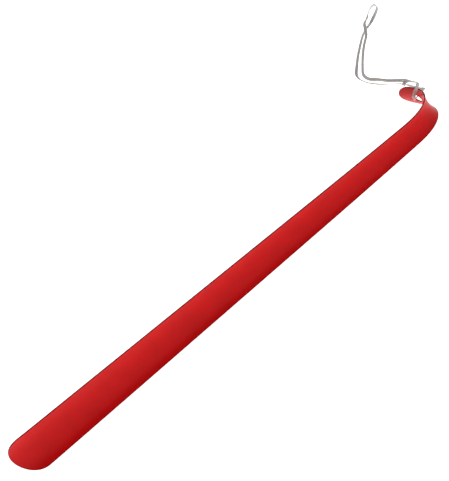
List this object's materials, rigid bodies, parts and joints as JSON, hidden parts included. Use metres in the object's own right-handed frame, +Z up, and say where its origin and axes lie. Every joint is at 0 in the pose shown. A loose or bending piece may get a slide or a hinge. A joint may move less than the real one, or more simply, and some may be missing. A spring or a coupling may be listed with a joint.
{
  "type": "long shoehorn",
  "caption": "Long sheet-metal shoehorn: a tapering trough with a rounded tip, a curled hook at the upper end and a white tape loop through a hole in the hook.",
  "frame": {"origin": "bottom centre of the horn's bounding box, without its tape loop; the blade's lower long edge lies on the plane z = 0", "axes": "+X along the blade from the tip to the hook, +Y to the back, the way the hook turns, +Z up, from the lower long edge to the upper one"},
  "size_m": [0.6435, 0.2678, 0.0565],
  "materials": {
    "red_powder_coat": "satin red powder coat over steel sheet",
    "white_tape": "soft matt woven tape"
  },
  "bodies": {
    "root": {"horn": "red_powder_coat", "hanging_loop": "white_tape", "loop_knot": "white_tape"}
  },
  "joints": []
}
